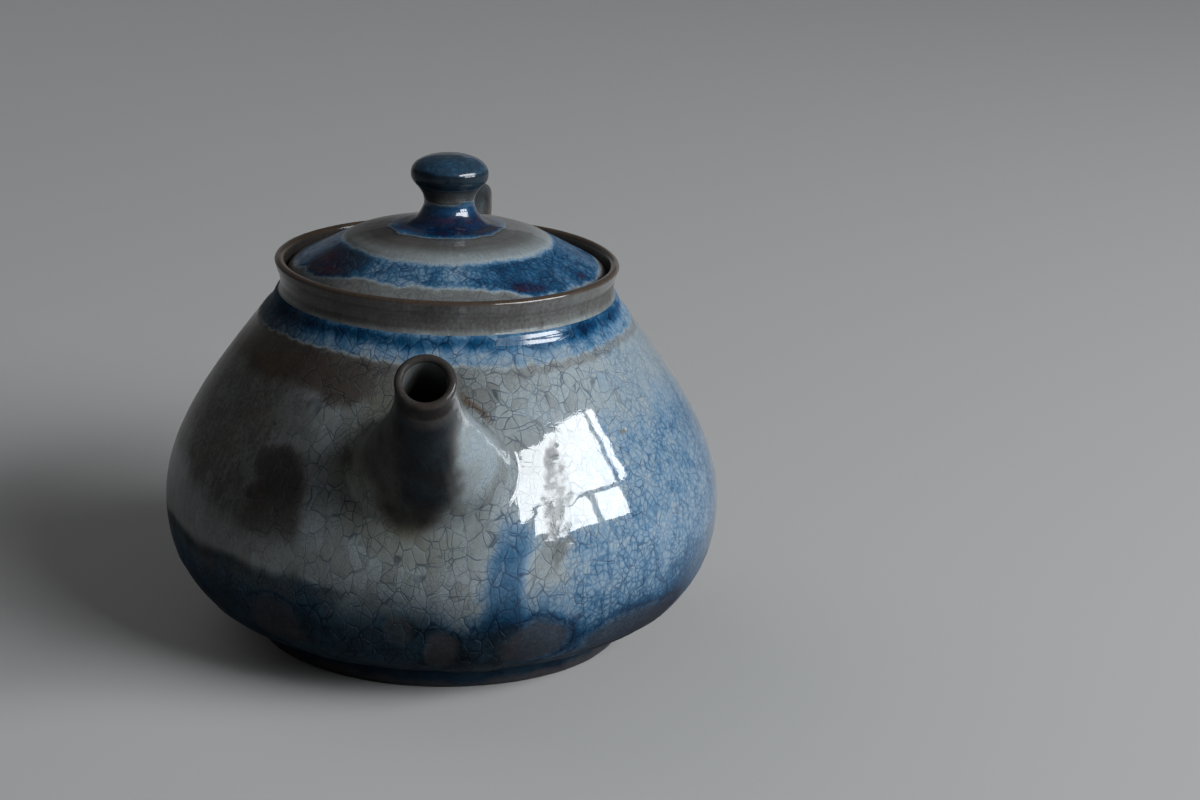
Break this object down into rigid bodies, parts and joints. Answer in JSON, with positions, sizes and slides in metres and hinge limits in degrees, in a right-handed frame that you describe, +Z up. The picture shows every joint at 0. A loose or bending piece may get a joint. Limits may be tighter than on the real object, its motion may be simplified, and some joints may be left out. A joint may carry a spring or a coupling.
{
  "type": "small round teapot",
  "caption": "Small round stoneware teapot with a short straight spout in front, a strap handle behind, a pierced strainer dome inside and a lift-off lid with a round knob.",
  "frame": {"origin": "on the pot's turning axis, at the plane the foot ring stands on", "axes": "+X towards the spout, -X towards the handle, +Z up through the knob"},
  "size_m": [0.1567, 0.11, 0.096],
  "materials": {
    "blue_glaze": "gloss",
    "grey_glaze": "gloss",
    "bare_clay": "matte"
  },
  "bodies": {
    "pot": {"pot_body": "blue_glaze", "foot_ring": "bare_clay", "rim_collar": "grey_glaze", "spout": "grey_glaze", "spout_strainer": "grey_glaze", "handle": "grey_glaze"},
    "lid": {"lid_plate": "blue_glaze", "lid_flange": "bare_clay", "lid_knob": "blue_glaze"}
  },
  "joints": [
    {"name": "lid_lift", "type": "slide", "parent": "pot", "child": "lid", "axis": [0, 0, 1], "range_m": [0, 0.08]}
  ]
}
